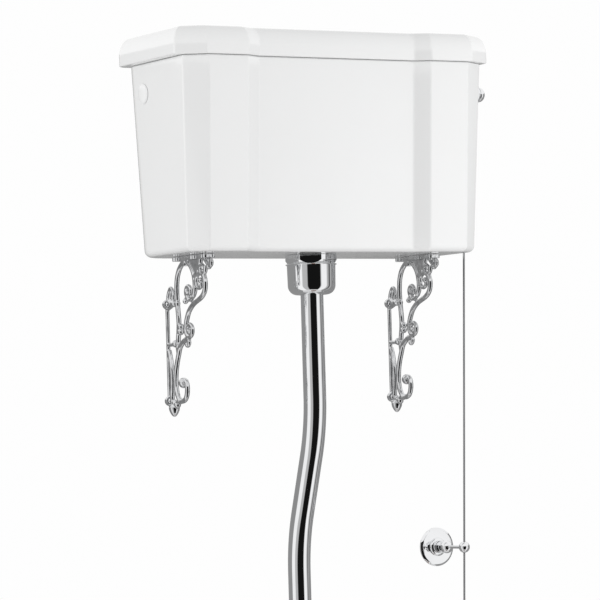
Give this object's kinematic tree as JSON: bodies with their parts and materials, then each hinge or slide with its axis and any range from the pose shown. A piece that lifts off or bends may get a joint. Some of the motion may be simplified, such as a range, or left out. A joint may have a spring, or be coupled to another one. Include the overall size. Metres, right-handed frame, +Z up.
{
  "type": "high level toilet",
  "caption": "Wall-high ceramic cistern on scrolled brackets with a lever, pull rod and wall guide, a long flush pipe and a floor-standing pan with a seat.",
  "frame": {"origin": "centre of the whole object's box in plan, at floor level", "axes": "+Z up from the floor, +Y towards the wall that the cistern hangs on, +X to the right as seen from the front"},
  "size_m": [0.529, 0.604, 2.1098],
  "materials": {
    "ceramic": "white gloss glaze",
    "chrome": "polished chrome plate on brass",
    "brass": "plain turned brass",
    "plastic": "white moulded plastic",
    "rubber": "black seal rubber",
    "white_rubber": "white rubber",
    "wood": "varnished dark wood"
  },
  "bodies": {
    "toilet": {"cistern_tank": "ceramic", "side_hole_cap": "plastic", "side_cap_nut": "plastic", "cistern_screw_left": "chrome", "cistern_screw_right": "chrome", "flush_valve": "plastic", "flush_valve_seal": "rubber", "cup_nut": "chrome", "pipe_seal": "rubber", "inlet_valve": "brass", "inlet_nut": "brass", "spindle_bush": "chrome", "bush_nut": "brass", "guide_rose": "chrome", "rose_screw_left": "chrome", "rose_screw_right": "chrome", "guide_arm": "chrome", "guide_eye": "chrome", "left_bracket": "chrome", "left_bracket_screw_upper": "chrome", "left_bracket_screw_lower": "chrome", "right_bracket": "chrome", "right_bracket_screw_upper": "chrome", "right_bracket_screw_lower": "chrome", "flush_pipe_upper": "chrome", "pipe_coupling": "chrome", "flush_pipe_lower": "chrome", "pipe_clip": "chrome", "flush_cone": "white_rubber", "toilet_pan": "ceramic", "floor_screw_left": "chrome", "floor_screw_right": "chrome", "hinge_post_left": "chrome", "hinge_post_right": "chrome", "hinge_bar": "chrome"},
    "lid": {"cistern_lid": "ceramic"},
    "lever": {"flush_spindle": "brass", "outer_crank": "chrome", "crank_dome_cap": "chrome", "inner_arm": "brass"},
    "pull": {"rod_eye": "chrome", "pull_rod": "chrome", "handle_ferrule": "chrome", "pull_handle": "ceramic"},
    "button": {"flush_button": "plastic"},
    "float": {"float_arm": "brass", "float_ball": "plastic"},
    "seat": {"seat_ring": "wood", "seat_hinge_left": "chrome", "seat_hinge_right": "chrome", "seat_buffer_front_left": "white_rubber", "seat_buffer_front_right": "white_rubber", "seat_buffer_rear_left": "white_rubber", "seat_buffer_rear_right": "white_rubber"}
  },
  "joints": [
    {"name": "lid_lift", "type": "slide", "parent": "toilet", "child": "lid", "axis": [0, 0, 1], "range_m": [0, 0.06]},
    {"name": "lever_turn", "type": "hinge", "parent": "toilet", "child": "lever", "pos_m": [0.2265, 0.147, 2.026], "axis": [-1, 0, 0], "range_deg": [0, 20], "stiffness_Nm_per_rad": 0.4, "springref_deg": -45.84},
    {"name": "rod_pull", "type": "slide", "parent": "toilet", "child": "pull", "axis": [0, 0.0545, -0.9985], "range_m": [0, 0.0148]},
    {"name": "button_press", "type": "slide", "parent": "toilet", "child": "button", "axis": [0, 0, -1], "range_m": [0, 0.0204]},
    {"name": "float_swing", "type": "hinge", "parent": "toilet", "child": "float", "pos_m": [-0.179, 0.226, 2.012], "axis": [0, -1, 0], "range_deg": [0, 40]},
    {"name": "seat_hinge", "type": "hinge", "parent": "toilet", "child": "seat", "pos_m": [-0.014, 0.13, 0.418], "axis": [-1, 0, 0], "range_deg": [0, 95]}
  ],
  "couplings": [
    {"joint": "rod_pull", "follows": "lever_turn", "m_per_rad": 0.04185},
    {"joint": "button_press", "follows": "lever_turn", "m_per_rad": 0.057706}
  ]
}
